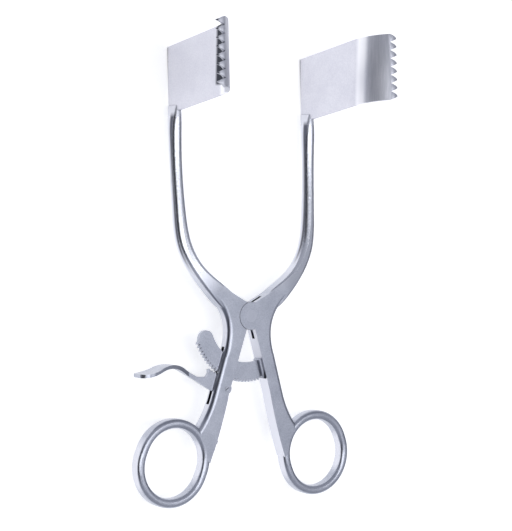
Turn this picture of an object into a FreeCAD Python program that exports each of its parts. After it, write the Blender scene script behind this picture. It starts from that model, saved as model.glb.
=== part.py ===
import FreeCAD, Part
import Sketcher
import math
import os

# Driving sizes in millimetres and degrees, written once. The frame has its origin on the box lock's
# axis at the joint's back face: +Z runs out of the front, +Y towards the blades, +X to the right.
SIZES = {
    "thickness": 5.5,
    "ring_x": 34.3,
    "ring_y": -55.8,
    "ring_path_radius": 14.5,
    "ring_straight": 1.6,
    "ring_tilt": 22.0,
    "ring_wall": 3.65,
    "ring_corner": 1.6,
    "disc_radius": 5.5,
    "disc_play": 0.08,
    "tongue_radius": 9.4,
    "tongue_thickness": 1.5,
    "tongue_end_play": 0.3,
    "tongue_side_play": 0.05,
    "rivet_radius": 2.5,
    "rivet_play": 0.04,
    "outer_rounding": 1.9,
    "crotch_top_x": 1.8, "crotch_top_y": 5.2,
    "shoulder_in_x": 9.0, "shoulder_in_y": 9.0,
    "shoulder_end_x": 13.3, "shoulder_end_y": 11.9,
    "shoulder_out_x": 17.8, "shoulder_out_y": 7.0,
    "waist_x": 10.6, "waist_y": -7.0,
    "grip_top_x": 12.4, "grip_top_y": -15.5,
    "grip_low_x": 17.3, "grip_low_y": -31.6,
    "notch_x": 22.6, "notch_y": -42.1,
    "web_out_x": 24.6, "web_out_y": -44.6,
    "web_in_x": 19.6, "web_in_y": -55.5,
    "palm_end_x": 18.1, "palm_end_y": -56.5,
    "palm_start_x": 9.9, "palm_start_y": -30.0,
    "crotch_low_x": 2.0, "crotch_low_y": -5.12,
    "bar_inner_radius": 18.3,
    "bar_root_radius": 24.9,
    "tooth_height": 1.2,
    "bar_thickness": 1.5,
    "bar_end_angle": 70.5,
    "tooth_pitch": 3.4,
    "tooth_count": 24,
    "first_tooth_angle": 65.5,
    "foot_height": 1.1,
    "foot_width": 4.0,
    "slot_width": 1.7,
    "slot_top_radius": 16.4,
    "slot_low_radius": 38.6,
    "lever_thickness": 1.4,
    "lever_pivot_x": -10.9, "lever_pivot_y": -28.1,
    "lever_pin_radius": 0.95,
    "lever_pin_play": 0.04,
    "lever_hub_radius": 2.0,
    "lever_release": 8.0,
    "boss_radius": 2.15,
    "pawl_gap": 0.06,
    "tab_half_width": 4.6,
    "spring_thickness": 0.8,
    "spring_width": 3.6,
    "leaf_top": -30.9,
    "leaf_low": -52.6,
    "spring_screw_y": -48.5,
    "spring_screw_radius": 0.7,
    "spring_screw_depth": 3.5,
    "screw_head_radius": 1.1,
    "screw_head_height": 0.8,
    "screw_slot": 0.4,
    "blade_x": 32.2, "blade_y": 77.5, "blade_z": -6.8,
    "blade_lean": 4.3,
    "blade_width": 25.6,
    "blade_thickness": 1.5,
    "blade_flat": 34.0,
    "lip_radius": 15.0,
    "lip_angle": 64.0,
    "lip_end": 3.55,
    "lip_tooth_length": 4.0,
    "lip_bevel_share": 0.9,
    "blade_rise": 4.9,
    "teeth_per_lip": 8,
    "back_edge_half": 0.3,
    "back_edge_depth": 3.4,
}
# The left shank's recess meets the disc with play, at the same angles as the disc's ends.
for corner in ("top", "low"):
    for axis in ("x", "y"):
        wider = 1 + SIZES["disc_play"] / SIZES["disc_radius"]
        SIZES[f"recess_{corner}_{axis}"] = round(SIZES[f"crotch_{corner}_{axis}"] * wider, 3)

# Stations of the arm's centre line on the right side: x, y, turn of the section about Z, width across
# the arm, depth, corner radius, and how far its middle has fallen behind the joint's. The first one is
# buried in the shoulder, the last two flatten the bar into the blade's back edge.
ARM_STATIONS = (
    (8.0, 3.6, -63.0, 6.0, 4.6, 0.5, 0.15),
    (16.2, 10.2, -52.0, 6.9, 5.44, 0.9, 0.0),
    (23.7, 17.4, -43.0, 5.6, 5.4, 1.6, 0.5),
    (29.2, 27.0, -20.0, 5.7, 5.3, 2.2, 1.6),
    (31.2, 40.0, -4.5, 5.3, 5.1, 2.4, 2.9),
    (32.2, 68.0, -0.5, 5.1, 5.1, 2.4, 5.1),
    (32.2, 75.5, 0.0, 4.4, 6.0, 2.0, 5.65),
    (32.2, 80.5, 0.0, 2.2, 6.6, 0.8, 6.35),
)

PALM_MIDDLE = (13.5, -43.2)

RIGHT = 1
LEFT = -1
ORIGIN = (-1, 1)

doc = FreeCAD.newDocument("hand_retractor")
sheet = doc.addObject("Spreadsheet::Sheet", "Sizes")
for row, (alias, value) in enumerate(SIZES.items(), 1):
    sheet.set(f"A{row}", alias)
    sheet.set(f"B{row}", str(value))
    sheet.setAlias(f"B{row}", alias)
doc.recompute()


def size(alias):
    return float(sheet.get(alias))


def point(stem, side=RIGHT):
    return FreeCAD.Vector(side * size(stem + "_x"), size(stem + "_y"), 0)


def polar(radius, degrees):
    """A point at an angle counted from -Y towards -X, as the ratchet's travel is."""
    a = math.radians(degrees)
    return FreeCAD.Vector(-radius * math.sin(a), -radius * math.cos(a), 0)


def new_body(label):
    body = doc.addObject("PartDesign::Body", label)
    body.Label = label
    return body


def new_sketch(body, name, plane="XY_Plane", offset=None):
    sketch = body.newObject("Sketcher::SketchObject", name)
    base = [f for f in body.Origin.OriginFeatures if f.Role == plane][0]
    sketch.AttachmentSupport = [(base, "")]
    sketch.MapMode = "FlatFace"
    if offset is not None:
        sketch.AttachmentOffset = offset
    return sketch


def bind_height(sketch, expression):
    sketch.setExpression("AttachmentOffset.Base.z", expression)


def constrain(sketch, kind, *values, bound=None):
    index = sketch.addConstraint(Sketcher.Constraint(kind, *values))
    if bound is not None:
        sketch.setExpression(f"Constraints[{index}]", bound)
    return index


def pin(sketch, geo, pos, where, x_bound=None, y_bound=None):
    """Fix a vertex at its place from the sketch's origin, bound to the sheet where it has a name."""
    constrain(sketch, "DistanceX", *ORIGIN, geo, pos, where.x, bound=x_bound)
    constrain(sketch, "DistanceY", *ORIGIN, geo, pos, where.y, bound=y_bound)


def three_point_arc(start, middle, end):
    """The arc as sketches keep it, counter-clockwise, and which of its vertices is start and which end."""
    through = Part.ArcOfCircle(start, middle, end)
    full = Part.Circle(through.Center, FreeCAD.Vector(0, 0, 1), through.Radius)
    ccw = (middle - start).cross(end - middle).z > 0
    first, last = (start, end) if ccw else (end, start)
    a, b = (math.atan2(p.y - full.Center.y, p.x - full.Center.x) for p in (first, last))
    if b < a:
        b += 2 * math.pi
    return Part.ArcOfCircle(full, a, b), (1, 2) if ccw else (2, 1)


def outline(sketch, start, steps, side=RIGHT):
    """A closed outline from named corners. A step is (corner,) for a line or (corner, middle) for an arc,
    where the middle is a point that the arc passes through."""

    def place(corner):
        if isinstance(corner, str):
            return point(corner, side)
        return FreeCAD.Vector(side * corner[0], corner[1], 0)

    def bounds(corner):
        if isinstance(corner, str):
            sign = "-" if side == LEFT else ""
            return f"{sign}Sizes.{corner}_x", f"Sizes.{corner}_y"
        return None, None

    first = None
    before = place(start)
    last = None
    for step in steps:
        end = place(step[0])
        if len(step) == 1:
            geo = sketch.addGeometry(Part.LineSegment(before, end), False)
            ends = (1, 2)
        else:
            middle = FreeCAD.Vector(side * step[1][0], step[1][1], 0)
            arc, ends = three_point_arc(before, middle, end)
            geo = sketch.addGeometry(arc, False)
            constrain(sketch, "Radius", geo, arc.Radius)
        if last is None:
            first = (geo, ends[0])
        else:
            constrain(sketch, "Coincident", last[0], last[1], geo, ends[0])
        pin(sketch, geo, ends[1], end, *bounds(step[0]))
        last = (geo, ends[1])
        before = end
    constrain(sketch, "Coincident", last[0], last[1], first[0], first[1])


def polygon(sketch, points):
    outline(sketch, (points[-1].x, points[-1].y), [((p.x, p.y),) for p in points])


def circle(sketch, centre, radius, bound, x_bound=None, y_bound=None):
    geo = sketch.addGeometry(Part.Circle(centre, FreeCAD.Vector(0, 0, 1), radius), False)
    pin(sketch, geo, 3, centre, x_bound, y_bound)
    constrain(sketch, "Radius", geo, radius, bound=bound)
    return geo


def rounded_rectangle(sketch, width, depth, corner, bounds=(None, None, None)):
    """A rectangle round the sketch's origin whose corners are arcs."""
    w, d, r = width / 2, depth / 2, corner
    v = FreeCAD.Vector
    lines = (
        (v(-w + r, -d, 0), v(w - r, -d, 0)),
        (v(w, -d + r, 0), v(w, d - r, 0)),
        (v(w - r, d, 0), v(-w + r, d, 0)),
        (v(-w, d - r, 0), v(-w, -d + r, 0)),
    )
    centres = (v(w - r, -d + r, 0), v(w - r, d - r, 0), v(-w + r, d - r, 0), v(-w + r, -d + r, 0))
    line_ids = [sketch.addGeometry(Part.LineSegment(*line), False) for line in lines]
    arc_ids = []
    for i, centre in enumerate(centres):
        full = Part.Circle(centre, v(0, 0, 1), r)
        start = math.radians(-90 + 90 * i)
        arc_ids.append(sketch.addGeometry(Part.ArcOfCircle(full, start, start + math.pi / 2), False))
    for i in range(4):
        constrain(sketch, "Tangent", line_ids[i], 2, arc_ids[i], 1)
        constrain(sketch, "Tangent", arc_ids[i], 2, line_ids[(i + 1) % 4], 1)
    for i, kind in enumerate(("Horizontal", "Vertical", "Horizontal", "Vertical")):
        constrain(sketch, kind, line_ids[i])
    for i in range(1, 4):
        constrain(sketch, "Equal", arc_ids[0], arc_ids[i])
    constrain(sketch, "Symmetric", arc_ids[0], 3, arc_ids[2], 3, *ORIGIN)
    constrain(sketch, "DistanceX", line_ids[3], 1, line_ids[1], 1, width, bound=bounds[0])
    constrain(sketch, "DistanceY", line_ids[0], 1, line_ids[2], 1, depth, bound=bounds[1])
    constrain(sketch, "Radius", arc_ids[0], corner, bound=bounds[2])


def pad(body, sketch, name, length, bound, midplane=False, reverse=False):
    feature = body.newObject("PartDesign::Pad", name)
    feature.Profile = sketch
    feature.Length = length
    feature.setExpression("Length", bound)
    feature.Midplane = midplane
    feature.Reversed = reverse
    doc.recompute()
    return feature


def pocket(body, sketch, name, length, bound, midplane=False, reverse=False):
    """A pocket that must take something away."""
    before = body.Shape.Volume
    feature = body.newObject("PartDesign::Pocket", name)
    feature.Profile = sketch
    feature.Length = length
    if bound is not None:
        feature.setExpression("Length", bound)
    feature.Midplane = midplane
    feature.Reversed = reverse
    doc.recompute()
    if not body.Shape.Volume < before - 1e-3:
        raise RuntimeError(f"{name} cuts nothing")
    return feature


def cut_through(body, sketch, name):
    """A pocket through the whole thickness, both ways from the sketch."""
    return pocket(body, sketch, name, 60, None, midplane=True)


def loft(body, sections, name):
    feature = body.newObject("PartDesign::AdditiveLoft", name)
    feature.Profile = sections[0]
    feature.Sections = sections[1:]
    feature.Ruled = False
    feature.Closed = False
    doc.recompute()
    return feature


def fillet_edges(body, name, radius, bound, wanted):
    """Round the edges of the body's present shape that the test picks."""
    base = body.Tip
    names = [f"Edge{i}" for i, edge in enumerate(base.Shape.Edges, 1) if wanted(edge)]
    feature = body.newObject("PartDesign::Fillet", name)
    feature.Base = (base, names)
    feature.Radius = radius
    feature.setExpression("Radius", bound)
    doc.recompute()
    return feature


def arm_section(body, name, side, station):
    x, y, turn, width, depth, corner, fall = station
    placement = FreeCAD.Placement(
        FreeCAD.Vector(side * x, 0, -y),
        FreeCAD.Rotation(FreeCAD.Vector(0, 1, 0), side * turn),
    )
    sketch = new_sketch(body, name, "XZ_Plane", placement)
    sketch.setExpression("AttachmentOffset.Base.y", f"Sizes.thickness / 2 - {fall}")
    rounded_rectangle(sketch, width, depth, corner)
    return sketch


def shank_plate(body, side):
    """Handle and joint plate as one outline, with the disc or the recess round the lock's axis."""
    reach = size("disc_radius") if side == RIGHT else size("disc_radius") + size("disc_play")
    edge = "crotch" if side == RIGHT else "recess"
    sketch = new_sketch(body, "plate_outline")
    outline(
        sketch,
        edge + "_low",
        (
            (edge + "_top", (-reach * side, 0)),
            ("shoulder_in",),
            ("shoulder_end",),
            ("shoulder_out",),
            ("waist", (12.0, 0.1)),
            ("grip_top", (11.1, -11.2)),
            ("grip_low",),
            ("notch", (19.6, -37.1)),
            ("web_out",),
            ("web_in", (20.9, -49.3)),
            ("palm_end",),
            ("palm_start", PALM_MIDDLE),
            (edge + "_low",),
        ),
        side,
    )
    return pad(body, sketch, "plate", size("thickness"), "Sizes.thickness")


def outer_edge(side):
    """The test for the plate's outer front and back edges, from the shoulder to the notch."""

    def wanted(edge):
        box = edge.BoundBox
        if box.ZLength > 0.01:
            return False
        middle = edge.valueAt((edge.FirstParameter + edge.LastParameter) / 2)
        outer_x = 10.0 + max(0.0, -0.36 * (middle.y + 14.0))
        return side * middle.x > outer_x and -41 < middle.y < 5

    return wanted


def ring(body, side):
    """The finger ring: an oval path swept with a rounded section."""
    tilt = side * size("ring_tilt")
    radius = size("ring_path_radius")
    half = size("ring_straight") / 2
    v = FreeCAD.Vector
    about_z = FreeCAD.Rotation(v(0, 0, 1), tilt)
    centre = v(side * size("ring_x"), size("ring_y"), 0)
    path = new_sketch(body, "ring_path", "XY_Plane", FreeCAD.Placement(centre, about_z))
    path.setExpression("AttachmentOffset.Base.x", ("-" if side == LEFT else "") + "Sizes.ring_x")
    path.setExpression("AttachmentOffset.Base.y", "Sizes.ring_y")
    bind_height(path, "Sizes.thickness / 2")
    right_line = path.addGeometry(Part.LineSegment(v(radius, -half, 0), v(radius, half, 0)), False)
    top = Part.Circle(v(0, half, 0), v(0, 0, 1), radius)
    top_arc = path.addGeometry(Part.ArcOfCircle(top, 0, math.pi), False)
    left_line = path.addGeometry(Part.LineSegment(v(-radius, half, 0), v(-radius, -half, 0)), False)
    low = Part.Circle(v(0, -half, 0), v(0, 0, 1), radius)
    low_arc = path.addGeometry(Part.ArcOfCircle(low, math.pi, 2 * math.pi), False)
    loop = (right_line, top_arc, left_line, low_arc)
    for i, geo in enumerate(loop):
        constrain(path, "Tangent", geo, 2, loop[(i + 1) % 4], 1)
    constrain(path, "Vertical", right_line)
    constrain(path, "Symmetric", top_arc, 3, low_arc, 3, *ORIGIN)
    constrain(path, "Radius", top_arc, radius, bound="Sizes.ring_path_radius")
    constrain(path, "DistanceY", right_line, 1, right_line, 2, 2 * half, bound="Sizes.ring_straight")

    start = centre + about_z.multVec(v(radius, -half, 0))
    placement = FreeCAD.Placement(v(start.x, 0, -start.y), FreeCAD.Rotation(v(0, 1, 0), tilt))
    section = new_sketch(body, "ring_section", "XZ_Plane", placement)
    sign = "-" if side == LEFT else ""
    section.setExpression(
        "AttachmentOffset.Base.x",
        f"{sign}Sizes.ring_x + Sizes.ring_path_radius * cos({tilt} deg)"
        f" + Sizes.ring_straight / 2 * sin({tilt} deg)",
    )
    section.setExpression(
        "AttachmentOffset.Base.z",
        f"-(Sizes.ring_y + Sizes.ring_path_radius * sin({tilt} deg)"
        f" - Sizes.ring_straight / 2 * cos({tilt} deg))",
    )
    section.setExpression("AttachmentOffset.Base.y", "Sizes.thickness / 2")
    rounded_rectangle(
        section,
        size("ring_wall"),
        size("thickness"),
        size("ring_corner"),
        ("Sizes.ring_wall", "Sizes.thickness", "Sizes.ring_corner"),
    )
    doc.recompute()
    pipe = body.newObject("PartDesign::AdditivePipe", "ring")
    pipe.Profile = section
    pipe.Spine = (path, [f"Edge{i}" for i in range(1, 5)])
    doc.recompute()
    return pipe


def arm(body, side):
    """The arm: a flat shoulder that becomes a round bar, leans back and flattens behind the blade."""
    sections = [arm_section(body, f"arm_{i}", side, s) for i, s in enumerate(ARM_STATIONS)]
    doc.recompute()
    return loft(body, sections, "arm")


def blade_seat(body, side):
    """The slit in the arm's end that the blade's lower back corner is let into."""
    offset = FreeCAD.Placement(FreeCAD.Vector(0, 0, side * size("blade_x")), FreeCAD.Rotation())
    sketch = new_sketch(body, "blade_seat", "YZ_Plane", offset)
    sketch.setExpression("AttachmentOffset.Base.z", ("-" if side == LEFT else "") + "Sizes.blade_x")
    corner = FreeCAD.Vector(size("blade_y"), size("blade_z"), 0)
    lower = math.radians(size("blade_lean") + size("blade_rise"))
    along_low = FreeCAD.Vector(math.sin(lower), math.cos(lower), 0)
    low_back = corner - along_low * 5
    low_front = corner + along_low * 20
    across = FreeCAD.Vector(30, 0, 0)
    polygon(sketch, (low_back, low_back + across, low_front + across, low_front))
    return pocket(
        body, sketch, "blade_seat_cut", size("blade_thickness"), "Sizes.blade_thickness", midplane=True
    )


def make_right_shank():
    body = new_body("right_shank")
    shank_plate(body, RIGHT)
    fillet_edges(body, "outer_rounding", size("outer_rounding"), "Sizes.outer_rounding", outer_edge(RIGHT))
    ring(body, RIGHT)
    arm(body, RIGHT)
    blade_seat(body, RIGHT)
    v = FreeCAD.Vector
    slot = new_sketch(body, "lock_slot")
    bind_height(slot, "Sizes.thickness / 2")
    circle(
        slot, v(0, 0, 0), size("tongue_radius") + size("tongue_end_play"),
        "Sizes.tongue_radius + Sizes.tongue_end_play",
    )
    pocket(
        body, slot, "lock_slot_cut",
        size("tongue_thickness") + 2 * size("tongue_side_play"),
        "Sizes.tongue_thickness + 2 * Sizes.tongue_side_play", midplane=True,
    )
    bore = new_sketch(body, "rivet_bore")
    circle(bore, v(0, 0, 0), size("rivet_radius"), "Sizes.rivet_radius")
    cut_through(body, bore, "rivet_bore_cut")
    tang = new_sketch(body, "tang_seat")
    bind_height(tang, "Sizes.thickness / 2")
    tang_outline(tang)
    pocket(body, tang, "tang_seat_cut", size("bar_thickness"), "Sizes.bar_thickness", midplane=True)
    return body


def make_left_shank():
    body = new_body("left_shank")
    shank_plate(body, LEFT)
    fillet_edges(body, "outer_rounding", size("outer_rounding"), "Sizes.outer_rounding", outer_edge(LEFT))
    ring(body, LEFT)
    arm(body, LEFT)
    blade_seat(body, LEFT)
    v = FreeCAD.Vector
    boss = new_sketch(body, "pivot_boss")
    pivot = v(size("lever_pivot_x"), size("lever_pivot_y"), 0)
    circle(boss, pivot, size("boss_radius"), "Sizes.boss_radius", "Sizes.lever_pivot_x", "Sizes.lever_pivot_y")
    pad(body, boss, "boss", size("thickness"), "Sizes.thickness")
    tongue = new_sketch(body, "tongue")
    bind_height(tongue, "Sizes.thickness / 2")
    tongue_outline(tongue)
    pad(body, tongue, "tongue_pad", size("tongue_thickness"), "Sizes.tongue_thickness", midplane=True)
    bore = new_sketch(body, "rivet_bore")
    circle(bore, v(0, 0, 0), size("rivet_radius") + size("rivet_play"), "Sizes.rivet_radius + Sizes.rivet_play")
    cut_through(body, bore, "rivet_bore_cut")
    slot = new_sketch(body, "ratchet_slot")
    bind_height(slot, "Sizes.thickness / 2")
    ratchet_slot_outline(slot)
    pocket(body, slot, "ratchet_slot_cut", size("slot_width"), "Sizes.slot_width", midplane=True)
    bore = new_sketch(body, "pivot_bore")
    circle(
        bore, pivot, size("lever_pin_radius"), "Sizes.lever_pin_radius",
        "Sizes.lever_pivot_x", "Sizes.lever_pivot_y",
    )
    cut_through(body, bore, "pivot_bore_cut")
    seat = new_sketch(body, "screw_seat", "XZ_Plane", spring_screw_place())
    circle(seat, v(0, 0, 0), size("spring_screw_radius"), "Sizes.spring_screw_radius")
    pocket(body, seat, "screw_seat_cut", size("spring_screw_depth"), "Sizes.spring_screw_depth")
    return body


def tongue_outline(sketch):
    """Round nose inside the other shank's slot, cut back where the lock's notches are open."""
    big = size("tongue_radius")
    small = size("disc_radius") - 0.1

    def on(radius, degrees):
        a = math.radians(degrees)
        return (radius * math.cos(a), radius * math.sin(a))

    outline(
        sketch,
        on(small, -68),
        (
            (on(big, -62),),
            (on(big, 40), (big, 0)),
            ((1.9, 4.1),),
            ((-5.6, 3.2),),
            ((-5.6, -4.6),),
            (on(small, -68),),
        ),
    )


def ratchet_slot_outline(sketch):
    """The slot through the left handle, between two arcs about the lock's axis."""
    top = size("slot_top_radius")
    low = size("slot_low_radius")
    a = polar(top, 6)
    b = polar(top, 52)
    c = polar(low, 44)
    d = polar(low, 10)
    top_middle = polar(top, 30)
    low_middle = polar(low, 27)
    outline(
        sketch,
        (a.x, a.y),
        (
            ((b.x, b.y), (top_middle.x, top_middle.y)),
            ((c.x, c.y),),
            ((d.x, d.y), (low_middle.x, low_middle.y)),
            ((a.x, a.y),),
        ),
    )


def flat_point(distance, lift=0.0):
    """A point on the right shank's inner flat, at a distance down from the crotch and lifted off it."""
    start = point("crotch_low")
    along = (point("palm_start") - start).normalize()
    off = FreeCAD.Vector(along.y, -along.x, 0)
    return start + along * distance + off * lift


TANG_TOP = 14.4
TANG_LOW = 19.0
TANG_DEPTH = 3.2
FOOT_TOP = 12.2
FOOT_LOW = 20.8


def tang_points():
    return (
        flat_point(TANG_TOP),
        flat_point(TANG_TOP, -TANG_DEPTH),
        flat_point(TANG_LOW, -TANG_DEPTH),
        flat_point(TANG_LOW),
    )


def tang_outline(sketch):
    polygon(sketch, tang_points())


def make_box_lock_rivet():
    body = new_body("box_lock_rivet")
    sketch = new_sketch(body, "shaft")
    circle(sketch, FreeCAD.Vector(0, 0, 0), size("rivet_radius"), "Sizes.rivet_radius")
    pad(body, sketch, "rivet", size("thickness"), "Sizes.thickness")
    return body


def make_ratchet_bar():
    """Arc of plate about the lock's axis with a foot and a tang on the right shank's inner flat."""
    body = new_body("ratchet_bar")
    inner = size("bar_inner_radius")
    root = size("bar_root_radius")
    end = size("bar_end_angle")
    band = new_sketch(body, "band")
    bind_height(band, "Sizes.thickness / 2")
    nose = (inner + root) / 2
    low_in = flat_point(13.0, 0.3)
    low_out = flat_point(19.9, 0.3)
    start_in = polar(inner, -math.degrees(math.atan2(low_in.x, -low_in.y)))
    start_out = polar(root, -math.degrees(math.atan2(low_out.x, -low_out.y)))
    a = polar(inner, end - 3)
    b = polar(root, end - 3)
    tip = polar(nose, end + 4.6)
    mid_in = polar(inner, 25)
    mid_out = polar(root, 25)
    outline(
        band,
        (start_in.x, start_in.y),
        (
            ((a.x, a.y), (mid_in.x, mid_in.y)),
            ((b.x, b.y), (tip.x, tip.y)),
            ((start_out.x, start_out.y), (mid_out.x, mid_out.y)),
            ((start_in.x, start_in.y),),
        ),
    )
    pad(body, band, "band_pad", size("bar_thickness"), "Sizes.bar_thickness", midplane=True)

    tooth = new_sketch(body, "tooth")
    bind_height(tooth, "Sizes.thickness / 2")
    tip_radius = root + size("tooth_height")
    pitch = size("tooth_pitch")
    at = size("first_tooth_angle")
    polygon(
        tooth,
        (
            polar(root - 0.4, at - 0.12 * pitch),
            polar(root, at - 0.12 * pitch),
            polar(tip_radius, at),
            polar(tip_radius, at + 0.1 * pitch),
            polar(root, at + 0.8 * pitch),
            polar(root - 0.4, at + 0.8 * pitch),
        ),
    )
    tooth_pad = pad(body, tooth, "tooth_pad", size("bar_thickness"), "Sizes.bar_thickness", midplane=True)
    pattern = body.newObject("PartDesign::PolarPattern", "teeth")
    pattern.Originals = [tooth_pad]
    pattern.Axis = (tooth, ["N_Axis"])
    pattern.Reversed = False
    pattern.Angle = pitch * (size("tooth_count") - 1)
    pattern.setExpression("Angle", "Sizes.tooth_pitch * (Sizes.tooth_count - 1)")
    pattern.Occurrences = int(size("tooth_count"))
    body.Tip = pattern
    doc.recompute()

    tang = new_sketch(body, "tang")
    bind_height(tang, "Sizes.thickness / 2")
    lifted = 0.6
    points = tang_points()
    polygon(tang, (flat_point(TANG_TOP, lifted), points[1], points[2], flat_point(TANG_LOW, lifted)))
    pad(body, tang, "tang_pad", size("bar_thickness"), "Sizes.bar_thickness", midplane=True)

    foot = new_sketch(body, "foot")
    bind_height(foot, "Sizes.thickness / 2")
    height = size("foot_height")
    polygon(
        foot,
        (
            flat_point(FOOT_TOP),
            flat_point(FOOT_TOP + 0.5, height),
            flat_point(FOOT_LOW - 0.5, height),
            flat_point(FOOT_LOW),
        ),
    )
    pad(body, foot, "foot_pad", size("foot_width"), "Sizes.foot_width", midplane=True)
    return body


def engaged_to_rest(p):
    """Turn a point of the engaged pawl about the lever's pivot to the rest pose, clear of the teeth."""
    pivot = point("lever_pivot")
    turn = FreeCAD.Rotation(FreeCAD.Vector(0, 0, 1), size("lever_release"))
    return pivot + turn.multVec(p - pivot)


def pawl_points():
    """The pawl's three teeth in mesh, from left to right: pointed, so that they swing out of the bar's
    gaps without rubbing the steep sides."""
    root = size("bar_root_radius")
    pitch = size("tooth_pitch")
    gap = size("pawl_gap")
    valley = root + size("tooth_height") + gap
    play = math.degrees(gap / root)
    points = []
    for k in (7, 8, 9):
        at = size("first_tooth_angle") - k * pitch
        points.append(polar(valley, at - play))
        points.append(polar(root + 0.42 * size("tooth_height"), at - 0.42 * pitch))
        points.append(polar(valley, at - 0.9 * pitch + play))
    return [engaged_to_rest(p) for p in points]


def make_release_lever():
    body = new_body("release_lever")
    plate = new_sketch(body, "plate")
    bind_height(plate, "Sizes.thickness / 2")
    v = FreeCAD.Vector
    teeth = pawl_points()
    below = (
        v(-12.2, -26.4, 0),
        v(-10.2, -28.4, 0),
        v(-11.1, -31.3, 0),
        v(-12.1, -31.4, 0),
        v(-15.5, -29.6, 0),
        v(-22.6, -25.7, 0),
        v(-24.4, -24.6, 0),
        v(-23.4, -23.1, 0),
        v(-21.6, -23.3, 0),
        v(-19.4, -23.3, 0),
        v(-18.4, -22.0, 0),
    )
    polygon(plate, list(teeth) + list(below))
    pad(body, plate, "plate_pad", size("lever_thickness"), "Sizes.lever_thickness", midplane=True)

    hub = new_sketch(body, "hub")
    bind_height(hub, "Sizes.thickness / 2")
    pivot = point("lever_pivot")
    circle(hub, pivot, size("lever_hub_radius"), "Sizes.lever_hub_radius",
           "Sizes.lever_pivot_x", "Sizes.lever_pivot_y")
    pad(body, hub, "hub_pad", size("lever_thickness"), "Sizes.lever_thickness", midplane=True)

    strip = new_sketch(body, "tab_strip")
    bind_height(strip, "Sizes.thickness / 2")
    outline(
        strip,
        (-22.9, -25.4),
        (
            ((-22.4, -23.6),),
            ((-30.2, -19.6), (-26.9, -21.5)),
            ((-41.0, -19.1), (-35.8, -18.1)),
            ((-50.6, -21.2), (-45.4, -20.7)),
            ((-50.4, -22.6),),
            ((-41.3, -20.5), (-45.6, -22.0)),
            ((-31.0, -20.9), (-36.0, -19.5)),
            ((-22.9, -25.4), (-27.6, -22.9)),
        ),
    )
    pad(body, strip, "tab_pad", 2 * size("tab_half_width"), "2 * Sizes.tab_half_width", midplane=True)

    plan = new_sketch(body, "tab_plan", "XZ_Plane")
    half = size("tab_half_width")
    middle = size("thickness") / 2
    narrow = size("lever_thickness") / 2
    for sign in (1, -1):
        outline(
            plan,
            (-10.0, middle + sign * narrow),
            (
                ((-27.5, middle + sign * narrow),),
                ((-45.3, middle + sign * half), (-37.0, middle + sign * 3.1)),
                ((-51.0, middle), (-49.7, middle + sign * 3.4)),
                ((-54.0, middle),),
                ((-54.0, middle + sign * 8.0),),
                ((-10.0, middle + sign * 8.0),),
                ((-10.0, middle + sign * narrow),),
            ),
        )
    cut_through(body, plan, "tab_plan_cut")

    bore = new_sketch(body, "pivot_bore")
    circle(
        bore, pivot, size("lever_pin_radius") + size("lever_pin_play"),
        "Sizes.lever_pin_radius + Sizes.lever_pin_play", "Sizes.lever_pivot_x", "Sizes.lever_pivot_y",
    )
    cut_through(body, bore, "pivot_bore_cut")
    return body


def make_lever_pivot_screw():
    body = new_body("lever_pivot_screw")
    sketch = new_sketch(body, "shaft")
    circle(
        sketch, point("lever_pivot"), size("lever_pin_radius"), "Sizes.lever_pin_radius",
        "Sizes.lever_pivot_x", "Sizes.lever_pivot_y",
    )
    pad(body, sketch, "screw", size("thickness") + 0.15, "Sizes.thickness + 0.15")
    place = FreeCAD.Placement(point("lever_pivot"), FreeCAD.Rotation(FreeCAD.Vector(0, 0, 1), 35))
    slot = new_sketch(body, "slot", "XY_Plane", place)
    rounded_slot(slot, size("lever_pin_radius"), size("screw_slot") * 0.8)
    bind_height(slot, "Sizes.thickness + 0.15")
    pocket(body, slot, "slot_cut", size("screw_slot"), "Sizes.screw_slot")
    return body


def palm_circle():
    """The circle that the left handle's inner flank follows along the grip."""
    start, end = point("palm_start", LEFT), point("palm_end", LEFT)
    middle = FreeCAD.Vector(-PALM_MIDDLE[0], PALM_MIDDLE[1], 0)
    return Part.ArcOfCircle(start, middle, end).Circle


def palm_point(y, lift=0.0):
    """A point on that flank at a height along the grip, lifted off it towards the middle."""
    about = palm_circle()
    reach = about.Radius
    side = 1 if about.Center.x < -10 else -1
    dx = math.sqrt(reach**2 - (y - about.Center.y) ** 2)
    on_flank = FreeCAD.Vector(about.Center.x + side * dx, y, 0)
    out = (on_flank - about.Center).normalize() * side
    return on_flank + out * lift


def spring_outline(sketch):
    """The leaf on the left shank's inner flank, from below the pivot's boss to the ring."""
    leaf = size("spring_thickness")
    top, low = size("leaf_top"), size("leaf_low")
    middle = (top + low) / 2
    corners = (palm_point(top), palm_point(low), palm_point(low + 0.6, leaf), palm_point(top - 0.6, leaf))
    near = palm_point(middle)
    far = palm_point(middle, leaf)
    start, second, third, fourth = ((p.x, p.y) for p in corners)
    outline(
        sketch,
        start,
        ((second, (near.x, near.y)), (third,), (fourth, (far.x, far.y)), (start,)),
    )


def make_leaf_spring():
    body = new_body("leaf_spring")
    sketch = new_sketch(body, "leaf")
    bind_height(sketch, "Sizes.thickness / 2")
    spring_outline(sketch)
    pad(body, sketch, "leaf_pad", size("spring_width"), "Sizes.spring_width", midplane=True)
    hole = new_sketch(body, "hole", "XZ_Plane", spring_screw_place())
    circle(hole, FreeCAD.Vector(0, 0, 0), size("spring_screw_radius"), "Sizes.spring_screw_radius")
    pocket(body, hole, "hole_cut", 4, None, midplane=True)
    return body


def spring_screw_turn():
    """The angle about Z that turns -Y to the flank's outward side at the spring's screw."""
    y = size("spring_screw_y")
    out = palm_point(y, 1.0) - palm_point(y)
    return math.degrees(math.atan2(out.x, -out.y))


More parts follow.
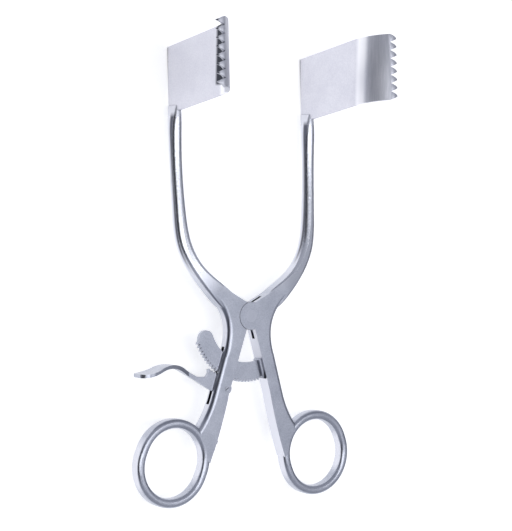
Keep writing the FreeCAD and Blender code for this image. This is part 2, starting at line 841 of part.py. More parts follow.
def spring_screw_place():
    """A sketch offset on the XZ plane whose normal leaves the flank at the spring's screw."""
    where = palm_point(size("spring_screw_y"))
    return FreeCAD.Placement(
        FreeCAD.Vector(where.x, size("thickness") / 2, -where.y),
        FreeCAD.Rotation(FreeCAD.Vector(0, 1, 0), spring_screw_turn()),
    )


def make_spring_screw():
    """Cheese-head screw: shaft in the shank, slotted head on the leaf."""
    body = new_body("spring_screw")
    v = FreeCAD.Vector
    shaft = new_sketch(body, "shaft")
    circle(shaft, v(0, 0, 0), size("spring_screw_radius"), "Sizes.spring_screw_radius")
    bind_height(shaft, "-Sizes.spring_screw_depth")
    pad(
        body, shaft, "shaft_pad", size("spring_screw_depth") + size("spring_thickness") + 0.2,
        "Sizes.spring_screw_depth + Sizes.spring_thickness + 0.2",
    )
    head = new_sketch(body, "head")
    circle(head, v(0, 0, 0), size("screw_head_radius"), "Sizes.screw_head_radius")
    bind_height(head, "Sizes.spring_thickness")
    pad(body, head, "head_pad", size("screw_head_height"), "Sizes.screw_head_height")
    slot = new_sketch(body, "slot")
    rounded_slot(slot, size("screw_head_radius"), size("screw_slot"))
    bind_height(slot, "Sizes.spring_thickness + Sizes.screw_head_height")
    pocket(body, slot, "slot_cut", size("screw_slot"), "Sizes.screw_slot")
    where = palm_point(size("spring_screw_y"))
    along_y = FreeCAD.Rotation(v(1, 0, 0), 90)
    about_z = FreeCAD.Rotation(v(0, 0, 1), spring_screw_turn())
    body.Placement = FreeCAD.Placement(v(where.x, where.y, size("thickness") / 2), about_z * along_y)
    return body


def rounded_slot(sketch, reach, width):
    """A screwdriver slot right across a head."""
    v = FreeCAD.Vector
    half = width / 2
    polygon(
        sketch,
        (v(-reach - 1, -half, 0), v(reach + 1, -half, 0), v(reach + 1, half, 0), v(-reach - 1, half, 0)),
    )


def lip_point(offset, beyond, share=1.0):
    """A point (x, z) of the lip: off the middle line, beyond the end of the bend or of a share of it."""
    a = math.radians(size("lip_angle")) * share
    radius = size("lip_radius")
    x = radius * (1 - math.cos(a)) + beyond * math.sin(a) + offset * math.cos(a)
    z = size("blade_flat") + radius * math.sin(a) + beyond * math.cos(a) - offset * math.sin(a)
    return (x, z)


def blade_profile(body, side):
    """The plate's section: thinned back edge, flat, roll outwards, and a bevel down to the teeth's tips."""
    sketch = new_sketch(body, "blade_profile", "XZ_Plane")
    half = size("blade_thickness") / 2
    flat = size("blade_flat")
    thin = size("back_edge_half")
    depth = size("back_edge_depth")
    share = size("lip_bevel_share")
    end = size("lip_end")
    outline(
        sketch,
        (-thin, 0),
        (
            ((-half, depth), (-half * 0.81, depth * 0.4)),
            ((-half, flat),),
            (lip_point(-half, 0, share), lip_point(-half, 0, share / 2)),
            (lip_point(half - 0.3, end),),
            (lip_point(half, end),),
            (lip_point(half, 0),),
            ((half, flat), lip_point(half, 0, 0.5)),
            ((half, depth),),
            ((thin, 0), (half * 0.81, depth * 0.4)),
            ((-thin, 0),),
        ),
        side,
    )
    return sketch


def lip_teeth(body, side):
    """Pointed teeth: a row of V gaps cut through the lip, one at each boundary between two teeth."""
    x, z = lip_point(0, 0)
    v = FreeCAD.Vector
    placement = FreeCAD.Placement(
        v(0, z, side * x), FreeCAD.Rotation(v(1, 0, 0), side * size("lip_angle"))
    )
    gap = new_sketch(body, "tooth_gap", "YZ_Plane", placement)
    pitch = size("blade_width") / size("teeth_per_lip")
    tip = size("lip_end")
    root = tip - size("lip_tooth_length")
    past = 0.5
    half = 0.48 * pitch * (1 + past / size("lip_tooth_length"))
    first = z * math.tan(math.radians(size("blade_rise")))
    polygon(gap, (v(first, root, 0), v(first + half, tip + past, 0), v(first - half, tip + past, 0)))
    cut = pocket(body, gap, "tooth_gap_cut", 5, None, midplane=True)
    row = body.newObject("PartDesign::LinearPattern", "teeth")
    row.Originals = [cut]
    row.Direction = (gap, ["H_Axis"])
    row.Length = size("blade_width")
    row.setExpression("Length", "Sizes.blade_width")
    row.Occurrences = int(size("teeth_per_lip")) + 1
    body.Tip = row
    doc.recompute()


def make_blade(side):
    body = new_body("right_blade" if side == RIGHT else "left_blade")
    profile = blade_profile(body, side)
    feature = pad(body, profile, "plate", 36, "Sizes.blade_width + 10.4", reverse=True)
    if body.Shape.BoundBox.YMax < 1:
        feature.Reversed = False
        doc.recompute()

    rise = math.tan(math.radians(size("blade_rise")))
    width = size("blade_width")
    reach = 60.0
    v = FreeCAD.Vector
    lower = new_sketch(body, "lower_edge", "YZ_Plane")
    polygon(lower, (v(-5, -5, 0), v(-5 * rise, -5, 0), v(reach * rise, reach, 0), v(-5, reach, 0)))
    cut_through(body, lower, "lower_edge_cut")
    upper = new_sketch(body, "upper_edge", "YZ_Plane")
    polygon(
        upper,
        (v(width - 5 * rise, -5, 0), v(60, -5, 0), v(60, reach, 0), v(width + reach * rise, reach, 0)),
    )
    cut_through(body, upper, "upper_edge_cut")
    lip_teeth(body, side)
    body.Placement = FreeCAD.Placement(
        v(side * size("blade_x"), size("blade_y"), size("blade_z")),
        FreeCAD.Rotation(v(1, 0, 0), -size("blade_lean")),
    )
    body.setExpression("Placement.Base.x", ("-" if side == LEFT else "") + "Sizes.blade_x")
    body.setExpression("Placement.Base.y", "Sizes.blade_y")
    body.setExpression("Placement.Base.z", "Sizes.blade_z")
    return body


bodies = [
    make_right_shank(),
    make_left_shank(),
    make_box_lock_rivet(),
    make_ratchet_bar(),
    make_release_lever(),
    make_lever_pivot_screw(),
    make_leaf_spring(),
    make_spring_screw(),
    make_blade(RIGHT),
    make_blade(LEFT),
]
doc.recompute()

for item in doc.Objects:
    state = set(item.State)
    if state & {"Invalid", "Error"}:
        raise RuntimeError(f"{item.Name} failed: {item.State}")
for body in bodies:
    if body.Shape.isNull() or not body.Shape.isValid():
        raise RuntimeError(f"{body.Label} has no valid shape")

os.makedirs("parts", exist_ok=True)
for body in bodies:
    body.Shape.exportStep(f"parts/{body.Label}.step")
    box = body.Shape.BoundBox
    print(body.Label, "solids", len(body.Shape.Solids), "volume", round(body.Shape.Volume, 1),
          "box", [round(v, 1) for v in (box.XMin, box.XMax, box.YMin, box.YMax, box.ZMin, box.ZMax)])
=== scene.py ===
import math

import bpy
from mathutils import Matrix, Vector

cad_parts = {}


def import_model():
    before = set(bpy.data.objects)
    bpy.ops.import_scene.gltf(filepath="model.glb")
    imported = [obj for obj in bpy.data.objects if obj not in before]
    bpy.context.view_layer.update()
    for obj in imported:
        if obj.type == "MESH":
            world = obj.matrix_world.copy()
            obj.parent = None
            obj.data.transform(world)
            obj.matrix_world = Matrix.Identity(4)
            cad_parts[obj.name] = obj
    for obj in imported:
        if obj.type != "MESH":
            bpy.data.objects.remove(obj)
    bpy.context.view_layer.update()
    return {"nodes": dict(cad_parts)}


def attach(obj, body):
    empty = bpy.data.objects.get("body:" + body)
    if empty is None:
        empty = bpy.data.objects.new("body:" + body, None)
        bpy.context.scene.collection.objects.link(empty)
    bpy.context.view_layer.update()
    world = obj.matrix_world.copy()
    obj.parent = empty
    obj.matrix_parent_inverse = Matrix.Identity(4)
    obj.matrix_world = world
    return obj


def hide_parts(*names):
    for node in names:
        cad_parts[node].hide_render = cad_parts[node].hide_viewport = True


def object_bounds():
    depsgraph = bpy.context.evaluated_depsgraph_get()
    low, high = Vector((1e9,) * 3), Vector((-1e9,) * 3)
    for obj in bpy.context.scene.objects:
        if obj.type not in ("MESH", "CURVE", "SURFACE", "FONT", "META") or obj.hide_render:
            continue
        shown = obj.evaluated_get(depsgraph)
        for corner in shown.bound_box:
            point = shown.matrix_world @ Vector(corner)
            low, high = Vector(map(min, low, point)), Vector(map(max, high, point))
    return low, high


# The part's frame is in metres: the box lock's axis is Z, the joint's back face is z = 0, and the blades
# point to +Y and stand up along +Z. The instrument lies on its back on a pale floor.
# Finishes and blades are sized in millimetres here, and a pair of values is where a change begins and ends.
MM = 0.001

# Camera
VIEW_TURN = 36.3
VIEW_TILT = 1.45
VIEW_ROLL = -1.24
VIEW_POINT = Vector((1.78, 19.71, 662.63)) * MM
JOINT_FRONT = 5.5 * MM
LENS_PER_PIXEL = 1695.7
IMAGE_WIDTH = 512
SENSOR = 36.0

# Floor, walls and lamp, in metres and watts. A dim patch has its turn and height, and the angles where it
# ends and is full.
FLOOR_SIZE = 8.0
FLOOR_COLOUR = "#F6F6F6"
FLOOR_ROUGHNESS = 0.9
FLOOR_GLOW = 0.55
WALL_COLOUR = "#B3B6C0"
DIM_COLOUR = "#3C3D42"
DIM_BEHIND_CAMERA = (180.0, 36.0, 38.0, 26.0)
DIM_ACROSS = (0.0, 12.0, 18.0, 12.0)
LAMP_PLACE = (-0.12, 0.0, 1.1)
LAMP_WIDTH = 0.5
LAMP_LENGTH = 1.6
LAMP_POWER = 5.0

# All steels. The blasting's pits and the grinding's streaks are about 0.1 mm wide on the real steel and
# are drawn 0.6 mm wide here, so that they show.
GRAIN_SIZE = 0.6
GRAIN_DETAIL = 4.0
GRAIN_SHARE = 0.6
GRAIN_BUMP = 0.3
GRAIN_HEIGHT = 0.02
CLOUD_SIZE = 7.0
CLOUD_SHARE = 0.4
PATTERN_ROUGHNESS = 0.6
PATTERN_SPAN = (0.3, 0.7)
FLAT_FACING = (0.9, 0.985)
# Painted shade in corners and seats: within this reach, where ambient occlusion finds little open space,
# the steels' colour darkens over that span to the last colour.
CORNER_REACH = 2.5
CORNER_SAMPLES = 6
CORNER_SHADE = (0.15, 0.75)
PAINTED_SHADE_COLOUR = "#4A4B52"

# The joint's seam, drawn as a line of painted shade: the disc's radius, how far the line spreads to each
# side, and where the disc runs into the right shank
SEAM_RADIUS = 5.54
SEAM_REACH = 0.22
SEAM_END = (1.8, 1.9)

# Arms, along Y: polished beyond the joint and lightened there in colour as painted sheen, ground again at
# the forks
POLISH_START = (9.0, 20.0)
SHEEN_START = (8.0, 18.0)
FORK_START = (76.0, 78.0)
ARM_ROUGHNESS = 0.24
FORK_ROUGHNESS = 0.42
ARM_SHEEN_COLOUR = "#D4D6DE"

# Flanks: by the square of the facing along X, lightened as a painted reflection of the floor. The arms sink
# by ARM_FALL for each millimetre towards their tips, and their flanks turn dark with painted shade between
# two heights above that fall.
FLANK_FACING = (0.6, 0.85)
FLANK_REFLECTION_COLOUR = "#DADBE3"
FLANK_TOP_SHADE_COLOUR = "#5A5C66"
ARM_FALL = 0.0835
FLANK_MIDDLE = (3.1, 4.0)

# Handles, along Y, and their rounded edges, by the facing along Z, which are darkened with painted shade
HANDLE_START = (-42.0, -38.0)
HANDLE_END = (6.0, 14.0)
ROUNDING_START = (0.2, 0.4)
ROUNDING_END = (0.85, 0.95)
ROUNDING_SHADE_COLOUR = "#8A8D99"
SHADING_WEIGHT = 60

# Rolls of the blades, along Z: a band of painted highlight, then the ground roll with its streaks
BAND_START = (27.5, 29.0)
BAND_END = (31.5, 33.0)
BAND_HIGHLIGHT_COLOUR = "#F8F8FC"
ROLL_START = (32.0, 36.0)
ROLL_ROUGHNESS = 0.52
STREAK_START = (32.0, 33.5)
STREAK_SIZE = 0.6
STREAK_STRETCH = (1.0, 20.0, 1.0)
STREAK_SPAN = (0.35, 0.65)
STREAK_LEAST = 0.35
STREAK_COLOUR = "#C6C8D0"

# The hollow under a roll, darkened with painted shade: by its facing along X times its distance from the
# middle, or by its facing along Z, and from a height and from the blade's lower end on
HOLLOW_OUTWARD = (18.0, 26.0)
HOLLOW_DOWNWARD = (-0.5, -0.2)
HOLLOW_START = (24.5, 26.0)
HOLLOW_LOWER_END = (86.5, 87.5)
HOLLOW_ROUGHNESS = 0.7
HOLLOW_SHADE_COLOUR = "#4A4D56"

# The ratchet bar's foot, along X, darkened with painted shade in its seat
FOOT_START = (6.8, 7.4)
FOOT_SHADE_COLOUR = "#3E4048"

# Blades, with angles in degrees: the corner by the arm, the lean of the plate, the slant of its ends, and
# the profile from the back edge over the bend to the hooked teeth. A back row has its height and its share
# of the full thickness. The cutter for the gaps between the teeth overshoots their tips by a tenth.
BLADE_CORNER = (32.2, 77.5, -6.8)
BLADE_LEAN = 4.3
BLADE_SLANT = 4.9
BLADE_WIDTH = 25.6
BLADE_THICKNESS = 1.5
BACK_ROWS = ((0.0, 0.4), (1.4, 0.85), (3.4, 1.0))
FLAT_HEIGHT = 34.4
BEND_RADIUS = 15.0
BEND_ANGLE = 60.0
BEND_STEPS = 14
HOOK_RADIUS = 2.6
HOOK_ANGLE = 70.0
HOOK_STEPS = 8
HOOK_THINNEST = 0.3
TEETH = 8
TOOTH_ROOT = 6.9
TOOTH_LENGTH = 3.7
TOOTH_GAP = 0.97
CUT_OVERSHOOT = 1.1
CUT_DEPTH = 6.0
EDGE_ROUNDING = 0.1
SHARP_ANGLE = math.radians(35)


def linear(hex_colour):
    """An sRGB hex colour as the linear RGBA that shaders take."""
    channels = [int(hex_colour[i : i + 2], 16) / 255 for i in (1, 3, 5)]
    return [c / 12.92 if c <= 0.04045 else ((c + 0.055) / 1.055) ** 2.4 for c in channels] + [1.0]


def add(tree, kind, inputs=(), output=0, **settings):
    """Add a shader node with its settings and give one of its outputs. Its inputs, by name or in order,
    are linked to another node's output or take a number, a vector or an sRGB hex colour."""
    node = tree.nodes.new(kind)
    for name, value in settings.items():
        setattr(node, name, value)
    for key, value in inputs.items() if isinstance(inputs, dict) else enumerate(inputs):
        if isinstance(value, bpy.types.NodeSocket):
            tree.links.new(value, node.inputs[key])
        else:
            node.inputs[key].default_value = linear(value) if isinstance(value, str) else value
    return node.outputs[output]


def new_material(name):
    material = bpy.data.materials.new(name)
    material.use_nodes = True
    tree = material.node_tree
    return material, tree, tree.nodes["Principled BSDF"]


def change(tree, socket, factor, value):
    """Turn the shader's roughness or colour into another one where the factor is 1."""
    target = tree.nodes["Principled BSDF"].inputs[socket]
    inputs = {"Factor": factor, "A": target.links[0].from_socket, "B": value}
    kind = "RGBA" if isinstance(value, str) else "FLOAT"
    tree.links.new(add(tree, "ShaderNodeMix", inputs, "Result", data_type=kind), target)


def spots(tree, size, detail=2.0, stretch=(1.0, 1.0, 1.0)):
    """A cloudy pattern whose spots have about the given size on the object, drawn out along an axis where
    the stretch is above 1."""
    place = add(tree, "ShaderNodeTexCoord", output="Object")
    scale = [1 / (size * MM * s) for s in stretch]
    spread = add(tree, "ShaderNodeVectorMath", (place, scale), operation="MULTIPLY")
    inputs = {"Vector": spread, "Scale": 1.0, "Detail": detail, "Roughness": PATTERN_ROUGHNESS}
    return add(tree, "ShaderNodeTexNoise", inputs, "Fac")


def part_of(tree, source, axis):
    """The place on the object, or the way its surface faces, along one axis."""
    return add(tree, "ShaderNodeSeparateXYZ", (add(tree, "ShaderNodeTexCoord", output=source),), axis)


def beyond(tree, axis, span):
    """A factor that rises from 0 to 1 over a span along an axis."""
    first, second = (mark * MM for mark in span)
    return add(tree, "ShaderNodeMapRange", (part_of(tree, "Object", axis), first, second, 0.0, 1.0))


def before(tree, axis, span):
    """A factor that falls from 1 to 0 over a span along an axis."""
    first, second = (mark * MM for mark in span)
    return add(tree, "ShaderNodeMapRange", (part_of(tree, "Object", axis), first, second, 1.0, 0.0))


def where_all(tree, *factors):
    """A factor that is 1 only where each of the given ones is."""
    share = factors[0]
    for factor in factors[1:]:
        share = add(tree, "ShaderNodeMath", (share, factor), operation="MULTIPLY")
    return share


def steel(name, light, dark, rough_flat, rough_edge):
    """Stainless steel with flats that face forward or back as rough as the first value and rounded edges
    as rough as the second. The grain breaks up the flats' reflections, the wide cloud lets them wander
    in tone, and corners and seats that ambient occlusion finds closed in are darkened with painted shade."""
    material, tree, shader = new_material(name)
    shader.inputs["Metallic"].default_value = 1.0
    grain = spots(tree, GRAIN_SIZE, detail=GRAIN_DETAIL)
    cloud = spots(tree, CLOUD_SIZE)
    grain_tone = add(tree, "ShaderNodeMapRange", (grain, *PATTERN_SPAN, 0.0, GRAIN_SHARE))
    cloud_tone = add(tree, "ShaderNodeMapRange", (cloud, *PATTERN_SPAN, 0.0, CLOUD_SHARE))
    tone = add(tree, "ShaderNodeMath", (grain_tone, cloud_tone), operation="ADD")
    colours = {"Factor": tone, "A": dark, "B": light}
    colour = add(tree, "ShaderNodeMix", colours, "Result", data_type="RGBA")
    tree.links.new(colour, shader.inputs["Base Color"])

    # Painted shade in corners and seats, from ambient occlusion.
    reach = {"Distance": CORNER_REACH * MM}
    openness = add(tree, "ShaderNodeAmbientOcclusion", reach, "AO", samples=CORNER_SAMPLES)
    corner = add(tree, "ShaderNodeMapRange", (openness, *CORNER_SHADE, 1.0, 0.0))
    change(tree, "Base Color", corner, PAINTED_SHADE_COLOUR)

    upright = add(tree, "ShaderNodeMath", (part_of(tree, "Normal", "Z"),), operation="ABSOLUTE")
    roughness = add(tree, "ShaderNodeMapRange", (upright, *FLAT_FACING, rough_edge, rough_flat))
    tree.links.new(roughness, shader.inputs["Roughness"])
    pits = {"Height": grain, "Strength": GRAIN_BUMP, "Distance": GRAIN_HEIGHT * MM}
    tree.links.new(add(tree, "ShaderNodeBump", pits, "Normal"), shader.inputs["Normal"])
    return material


def finish_shanks(material):
    """The arms beyond the joint are polished, and their colour is lightened as painted sheen. Faces that
    turn sideways are lightened as a painted reflection of the floor, the arms' upper flanks are darkened
    with painted shade, and the forks are ground to the blades' satin. The handles' rounded edges are
    darkened with painted shade against their flats."""
    tree = material.node_tree
    arms = beyond(tree, "Y", POLISH_START)
    change(tree, "Roughness", arms, ARM_ROUGHNESS)
    change(tree, "Roughness", beyond(tree, "Y", FORK_START), FORK_ROUGHNESS)
    # Painted sheen: the arms' colour is lightened beyond the joint.
    change(tree, "Base Color", beyond(tree, "Y", SHEEN_START), ARM_SHEEN_COLOUR)

    # Painted reflection of the floor on faces that turn sideways.
    sideways = part_of(tree, "Normal", "X")
    outward = add(tree, "ShaderNodeMath", (sideways, sideways), operation="MULTIPLY")
    side = add(tree, "ShaderNodeMapRange", (outward, *FLANK_FACING, 0.0, 1.0))
    change(tree, "Base Color", side, FLANK_REFLECTION_COLOUR)
    # Painted shade on the arms' upper flanks.
    slope = (part_of(tree, "Object", "Y"), ARM_FALL, part_of(tree, "Object", "Z"))
    height = add(tree, "ShaderNodeMath", slope, operation="MULTIPLY_ADD")
    low, high = (mark * MM for mark in FLANK_MIDDLE)
    upper = add(tree, "ShaderNodeMapRange", (height, low, high, 0.0, 1.0))
    shaded_flank_top = where_all(tree, side, arms, before(tree, "Y", FORK_START), upper)
    change(tree, "Base Color", shaded_flank_top, FLANK_TOP_SHADE_COLOUR)

    # Painted shade on the handles' rounded edges.
    facing = part_of(tree, "Normal", "Z")
    shaded_rounding = where_all(
        tree,
        add(tree, "ShaderNodeMapRange", (facing, *ROUNDING_START, 0.0, 1.0)),
        add(tree, "ShaderNodeMapRange", (facing, *ROUNDING_END, 1.0, 0.0)),
        beyond(tree, "Y", HANDLE_START),
        before(tree, "Y", HANDLE_END),
    )
    change(tree, "Base Color", shaded_rounding, ROUNDING_SHADE_COLOUR)


def line_seam(material):
    """The fine gap between the joint's disc and its recess, drawn as a dark line of painted shade."""
    tree = material.node_tree
    place = add(tree, "ShaderNodeTexCoord", output="Object")
    flat = add(tree, "ShaderNodeVectorMath", (place, (1, 1, 0)), operation="MULTIPLY")
    distance = add(tree, "ShaderNodeVectorMath", (flat,), "Value", operation="LENGTH")
    inner, middle, outer = ((SEAM_RADIUS + step * SEAM_REACH) * MM for step in (-1, 0, 1))
    seam = where_all(
        tree,
        add(tree, "ShaderNodeMapRange", (distance, inner, middle, 0.0, 1.0)),
        add(tree, "ShaderNodeMapRange", (distance, middle, outer, 1.0, 0.0)),
        before(tree, "X", SEAM_END),
    )
    change(tree, "Base Color", seam, PAINTED_SHADE_COLOUR)


def finish_rolls(material):
    """The blades' rolls are ground coarser, with streaks along the roll behind a band of painted highlight,
    and the hollow that the roll encloses is darkened with painted shade."""
    tree = material.node_tree
    change(tree, "Roughness", beyond(tree, "Z", ROLL_START), ROLL_ROUGHNESS)
    # Painted highlight: a bright band before the roll.
    band = where_all(tree, before(tree, "Z", BAND_END), beyond(tree, "Z", BAND_START))
    change(tree, "Base Color", band, BAND_HIGHLIGHT_COLOUR)
    streaks = spots(tree, STREAK_SIZE, stretch=STREAK_STRETCH)
    share = add(tree, "ShaderNodeMapRange", (streaks, *STREAK_SPAN, STREAK_LEAST, 1.0))
    change(tree, "Base Color", where_all(tree, share, beyond(tree, "Z", STREAK_START)), STREAK_COLOUR)

    # Painted shade in the hollow under the roll.
    sides = (part_of(tree, "Normal", "X"), part_of(tree, "Object", "X"))
    outward = add(tree, "ShaderNodeMath", sides, operation="MULTIPLY")
    low, high = (mark * MM for mark in HOLLOW_OUTWARD)
    outer = add(tree, "ShaderNodeMapRange", (outward, low, high, 0.0, 1.0))
    lower = add(tree, "ShaderNodeMapRange", (part_of(tree, "Normal", "Z"), *HOLLOW_DOWNWARD, 1.0, 0.0))
    hollow = where_all(
        tree,
        add(tree, "ShaderNodeMath", (outer, lower), operation="MAXIMUM"),
        beyond(tree, "Z", HOLLOW_START),
        beyond(tree, "Y", HOLLOW_LOWER_END),
    )
    change(tree, "Base Color", hollow, HOLLOW_SHADE_COLOUR)
    change(tree, "Roughness", hollow, HOLLOW_ROUGHNESS)


def paint(node, material):
    mesh = frame["nodes"][node].data
    mesh.materials.clear()
    mesh.materials.append(material)


def pick(piece):
    """Make one object the only selected one, ready for an operator."""
    bpy.ops.object.select_all(action="DESELECT")
    piece.select_set(True)
    bpy.context.view_layer.objects.active = piece


def apply_modifier(piece, kind, **values):
    modifier = piece.modifiers.new(kind.lower(), kind)
    for name, value in values.items():
        setattr(modifier, name, value)
    bpy.context.view_layer.objects.active = piece
    bpy.ops.object.modifier_apply(modifier=modifier.name)


def blade_rows():
    """The plate's middle line from back to tips, as rows of x, z and share of the full thickness."""
    rows = [(0.0, z, share) for z, share in BACK_ROWS] + [(0.0, FLAT_HEIGHT, 1.0)]
    x, z, angle = 0.0, FLAT_HEIGHT, 0.0
    for radius, sweep, steps, last in (
        (BEND_RADIUS, BEND_ANGLE, BEND_STEPS, 1.0),
        (HOOK_RADIUS, HOOK_ANGLE, HOOK_STEPS, HOOK_THINNEST),
    ):
        first = rows[-1][2]
        for i in range(1, steps + 1):
            start = math.radians(angle + sweep * (i - 1) / steps)
            end = math.radians(angle + sweep * i / steps)
            x += radius * (math.cos(start) - math.cos(end))
            z += radius * (math.sin(end) - math.sin(start))
            rows.append((x, z, first + (last - first) * i / steps))
        angle += sweep
    return rows


def tooth_gaps(height):
    """The row of V gaps between the teeth, as one object to cut with."""
    pitch = BLADE_WIDTH / TEETH
    length = TOOTH_LENGTH * CUT_OVERSHOOT
    first = height * math.tan(math.radians(BLADE_SLANT))
    # A triangle of radius 1 is 1.5 long and the square root of 3 wide. Its tip points to the roots.
    bpy.ops.object.select_all(action="DESELECT")
    bpy.ops.mesh.primitive_cylinder_add(
        vertices=3,
        radius=MM,
        depth=CUT_DEPTH * MM,
        location=((TOOTH_ROOT + length * 2 / 3) * MM, first * MM, height * MM),
        rotation=(0, 0, math.radians(90)),
        scale=(pitch * TOOTH_GAP * CUT_OVERSHOOT / math.sqrt(3), length / 1.5, 1),
    )
    gaps = bpy.context.object
    bpy.ops.object.transform_apply(location=True, rotation=True, scale=True)
    apply_modifier(
        gaps,
        "ARRAY",
        count=TEETH + 1,
        use_relative_offset=False,
        use_constant_offset=True,
        constant_offset_displace=(0, pitch * MM, 0),
    )
    return gaps


def make_blade(name, material):
    """The right blade as a bent plate: drawn row by row from its thin back edge over the bend into the
    hook, given its thickness, cut into teeth and rounded along its edges."""
    rows = blade_rows()
    slant = math.tan(math.radians(BLADE_SLANT))
    bpy.ops.object.select_all(action="DESELECT")
    bpy.ops.mesh.primitive_plane_add(size=BLADE_WIDTH * MM, location=(0, 0, 0))
    blade = bpy.context.object
    blade.name = name
    mesh = blade.data

    # One side of the plane stays as the back edge and is drawn out row by row.
    half = BLADE_WIDTH / 2 * MM
    bpy.ops.object.mode_set(mode="EDIT")
    bpy.ops.mesh.select_all(action="DESELECT")
    bpy.ops.object.mode_set(mode="OBJECT")
    for vertex in mesh.vertices:
        vertex.select = vertex.co.x < 0
    bpy.ops.object.mode_set(mode="EDIT")
    bpy.ops.mesh.delete(type="VERT")
    bpy.ops.mesh.select_all(action="SELECT")
    bpy.ops.transform.translate(value=(-half, half, 0))
    for (x0, z0, _), (x1, z1, _) in zip(rows, rows[1:]):
        step = ((x1 - x0) * MM, (z1 - z0) * slant * MM, (z1 - z0) * MM)
        bpy.ops.mesh.extrude_region_move(TRANSFORM_OT_translate={"value": step})
    bpy.ops.object.mode_set(mode="OBJECT")

    thick = blade.vertex_groups.new(name="thickness")
    for vertex in mesh.vertices:
        nearest = min(rows, key=lambda r: abs(r[0] * MM - vertex.co.x) + abs(r[1] * MM - vertex.co.z))
        thick.add([vertex.index], nearest[2], "REPLACE")
    apply_modifier(
        blade,
        "SOLIDIFY",
        thickness=BLADE_THICKNESS * MM,
        offset=0.0,
        use_even_offset=True,
        vertex_group="thickness",
    )
    gaps = tooth_gaps(FLAT_HEIGHT + BEND_RADIUS * math.sin(math.radians(BEND_ANGLE)))
    apply_modifier(blade, "BOOLEAN", object=gaps, operation="DIFFERENCE", solver="EXACT")
    bpy.data.objects.remove(gaps)
    apply_modifier(
        blade,
        "BEVEL",
        width=EDGE_ROUNDING * MM,
        segments=2,
        limit_method="ANGLE",
        angle_limit=SHARP_ANGLE,
    )

    # The finished plate leans forward and moves to its corner by the arm.
    pick(blade)
    bpy.ops.object.mode_set(mode="EDIT")
    bpy.ops.mesh.select_all(action="SELECT")
    bpy.ops.mesh.normals_make_consistent(inside=False)
    bpy.ops.transform.rotate(value=math.radians(BLADE_LEAN), orient_axis="X", center_override=(0, 0, 0))
    bpy.ops.transform.translate(value=[v * MM for v in BLADE_CORNER])
    bpy.ops.object.mode_set(mode="OBJECT")
    bpy.ops.object.shade_smooth_by_angle(angle=SHARP_ANGLE)
    mesh.materials.append(material)
    return blade


def mirrored(piece, name):
    """A copy with its own mesh on the other side of the instrument."""
    pick(piece)
    bpy.ops.object.duplicate()
    copy = bpy.context.object
    copy.name = name
    bpy.ops.object.mode_set(mode="EDIT")
    bpy.ops.mesh.select_all(action="SELECT")
    bpy.ops.transform.mirror(constraint_axis=(True, False, False), center_override=(0, 0, 0))
    bpy.ops.mesh.normals_make_consistent(inside=False)
    bpy.ops.object.mode_set(mode="OBJECT")
    return copy


def make_floor():
    """A pale table top that the instrument lies on. It stays a diffuse surface, so it keeps the shadow."""
    low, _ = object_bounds()
    bpy.ops.object.select_all(action="DESELECT")
    bpy.ops.mesh.primitive_plane_add(size=FLOOR_SIZE, location=(0, 0, low[2]))
    floor = bpy.context.object
    floor.name = "floor"
    # Matt white laminate: it shows no reflection, and its glow is for the eye and the steel alone.
    material, tree, shader = new_material("white_table")
    shader.inputs["Base Color"].default_value = linear(FLOOR_COLOUR)
    shader.inputs["Roughness"].default_value = FLOOR_ROUGHNESS
    rays = add(tree, "ShaderNodeLightPath").node.outputs
    seen = rays["Is Camera Ray"]
    for ray in ("Is Glossy Ray", "Is Transmission Ray"):
        seen = add(tree, "ShaderNodeMath", (seen, rays[ray]), operation="MAXIMUM")
    strength = add(tree, "ShaderNodeMath", (seen, FLOOR_GLOW), operation="MULTIPLY")
    glow = add(tree, "ShaderNodeEmission", {"Strength": strength})
    both = add(tree, "ShaderNodeAddShader", (shader.outputs[0], glow))
    tree.links.new(both, tree.nodes["Material Output"].inputs["Surface"])
    floor.data.materials.append(material)


def softbox(name, place, aim, width, length, power):
    data = bpy.data.lights.new(name, "AREA")
    data.shape = "RECTANGLE"
    data.size = width
    data.size_y = length
    data.energy = power
    lamp = bpy.data.objects.new(name, data)
    lamp.location = place
    lamp.rotation_euler = (Vector(aim) - Vector(place)).to_track_quat("-Z", "Y").to_euler()
    bpy.context.scene.collection.objects.link(lamp)


def dim_patch(tree, direction, base, turn, height, edge, core):
    """The base colour with a dim patch round one direction, given as degrees from +X towards +Y and
    degrees above the table. The patch is full inside the core angle and gone at the edge angle."""
    azimuth, elevation = math.radians(turn), math.radians(height)
    middle = (
        math.cos(elevation) * math.cos(azimuth),
        math.cos(elevation) * math.sin(azimuth),
        math.sin(elevation),
    )
    towards = add(tree, "ShaderNodeVectorMath", (direction, middle), "Value", operation="DOT_PRODUCT")
    wide, narrow = (math.cos(math.radians(angle)) for angle in (edge, core))
    share = add(tree, "ShaderNodeMapRange", (towards, wide, narrow, 0.0, 1.0))
    colours = {"Factor": share, "A": base, "B": DIM_COLOUR}
    return add(tree, "ShaderNodeMix", colours, "Result", data_type="RGBA")


def make_light():
    """Plain soft studio light: a softbox overhead between pale walls. The dim room behind the camera and
    a dim corner across from it draw the dark lines along the polished edges."""
    world = bpy.data.worlds.new("studio")
    bpy.context.scene.world = world
    world.use_nodes = True
    tree = world.node_tree
    direction = add(tree, "ShaderNodeTexCoord", output="Generated")
    behind_camera = dim_patch(tree, direction, WALL_COLOUR, *DIM_BEHIND_CAMERA)
    across = dim_patch(tree, direction, behind_camera, *DIM_ACROSS)
    tree.links.new(across, tree.nodes["Background"].inputs["Color"])
    softbox("overhead", LAMP_PLACE, (0, 0, 0), LAMP_WIDTH, LAMP_LENGTH, LAMP_POWER)


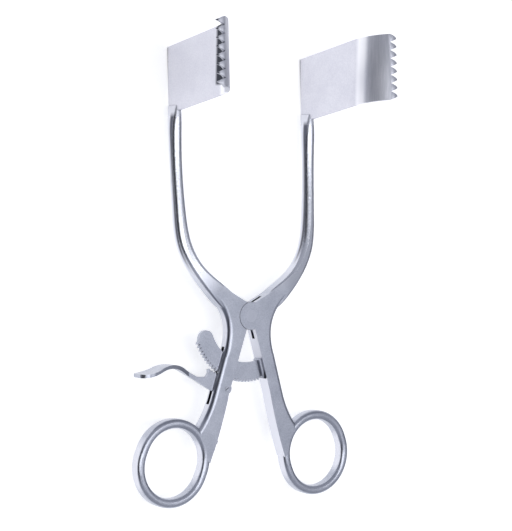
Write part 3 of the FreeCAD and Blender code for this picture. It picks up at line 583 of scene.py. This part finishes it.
def make_camera():
    """The photograph's camera: turned about the instrument's length, with a little tilt and roll."""
    turn = Matrix.Rotation(math.radians(VIEW_TURN), 3, "Y")
    tilt = Matrix.Rotation(math.radians(VIEW_TILT), 3, "X")
    roll = Matrix.Rotation(math.radians(VIEW_ROLL), 3, "Z")
    to_camera = roll @ tilt @ turn
    data = bpy.data.cameras.new("camera")
    data.sensor_width = SENSOR
    data.sensor_fit = "HORIZONTAL"
    data.lens = LENS_PER_PIXEL * SENSOR / IMAGE_WIDTH
    camera = bpy.data.objects.new("camera", data)
    where = to_camera.transposed() @ VIEW_POINT
    where.z += JOINT_FRONT
    camera.matrix_world = Matrix.Translation(where) @ to_camera.transposed().to_4x4()
    bpy.context.scene.collection.objects.link(camera)
    bpy.context.scene.camera = camera


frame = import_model()

# Forged stainless steel, bead-blasted: a calm grey satin on the flats that catches light at the roundings.
shank_steel = steel(
    "satin_forged_steel", light="#C6C9D3", dark="#A5A9B5", rough_flat=0.36, rough_edge=0.28
)
# Painted sheen on the arms, painted reflection and shade on the flanks, painted shade on the handles'
# roundings; below, a line of painted shade along the joint's seam.
finish_shanks(shank_steel)
line_seam(shank_steel)

# Stainless sheet, blasted fine: paler than the forgings, soft all over and without a sharp highlight.
blade_steel = steel(
    "satin_sheet_steel", light="#E2E2E9", dark="#CFCFD9", rough_flat=0.42, rough_edge=0.42
)
# Painted highlight in a band across the rolls and painted shade in the hollows under them.
finish_rolls(blade_steel)

# Stainless plate, surface-ground: a little smoother, so that the edges of the teeth stand out.
ratchet_steel = steel(
    "ground_plate_steel", light="#C4C7D1", dark="#A2A6B2", rough_flat=0.33, rough_edge=0.28
)
bar_tree = ratchet_steel.node_tree
# Painted shade on the bar's foot where it sits in its seat.
change(bar_tree, "Base Color", beyond(bar_tree, "X", FOOT_START), FOOT_SHADE_COLOUR)

# Turned and polished stainless steel: the small heads look even and clear against the satin round them.
screw_steel = steel(
    "turned_screw_steel", light="#C6C9D3", dark="#B8BBC6", rough_flat=0.28, rough_edge=0.2
)

for material, nodes in (
    (shank_steel, ("left_shank", "right_shank")),
    (blade_steel, ("left_blade", "right_blade")),
    (ratchet_steel, ("ratchet_bar", "release_lever", "leaf_spring")),
    (screw_steel, ("lever_pivot_screw", "spring_screw", "box_lock_rivet")),
):
    for node in nodes:
        paint(node, material)

# The shanks' curved faces shade evenly when each facet counts by its area.
for node in ("left_shank", "right_shank"):
    even = frame["nodes"][node].modifiers.new("even_shading", "WEIGHTED_NORMAL")
    even.keep_sharp = True
    even.weight = SHADING_WEIGHT

right_plate = make_blade("right_blade_plate", blade_steel)
left_plate = mirrored(right_plate, "left_blade_plate")
for blade, body, node in (
    (left_plate, "left_half", "left_blade"),
    (right_plate, "right_half", "right_blade"),
):
    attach(blade, body)
    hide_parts(node)

make_floor()
make_light()
make_camera()

bpy.context.scene.view_settings.view_transform = "Standard"
